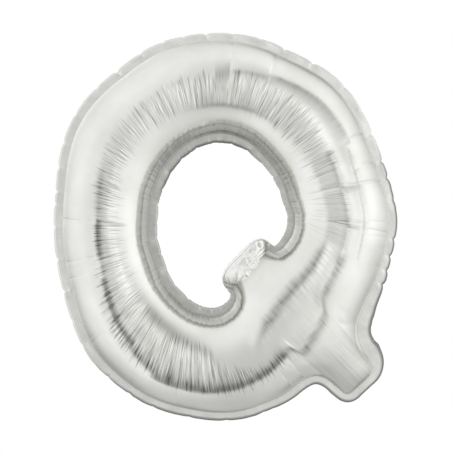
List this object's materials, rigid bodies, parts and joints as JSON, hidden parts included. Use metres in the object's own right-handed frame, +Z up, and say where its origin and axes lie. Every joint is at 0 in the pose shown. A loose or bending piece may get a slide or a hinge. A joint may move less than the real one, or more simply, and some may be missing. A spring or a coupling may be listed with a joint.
{
  "type": "letter foil balloon",
  "caption": "Inflated letter Q balloon: a front and a back sheet of silver film, flat sealed margins round the letter and its counter, and a folded filler neck.",
  "frame": {"origin": "middle of the letter's height and width, on the plane where the two sheets are sealed together; the mount named air is there", "axes": "+Z up the letter, +X to the reader's right, and the letter is read from -Y"},
  "size_m": [0.7619, 0.205, 0.8603],
  "materials": {
    "silver_foil": "satin mirror",
    "sealed_foil": "satin",
    "valve_film": "clear satin"
  },
  "bodies": {
    "root": {"front_foil": "silver_foil", "back_foil": "silver_foil", "outer_seam": "sealed_foil", "counter_seam": "sealed_foil", "tail_fold": "silver_foil", "filler_neck": "sealed_foil", "valve_sleeve": "valve_film"}
  },
  "joints": []
}
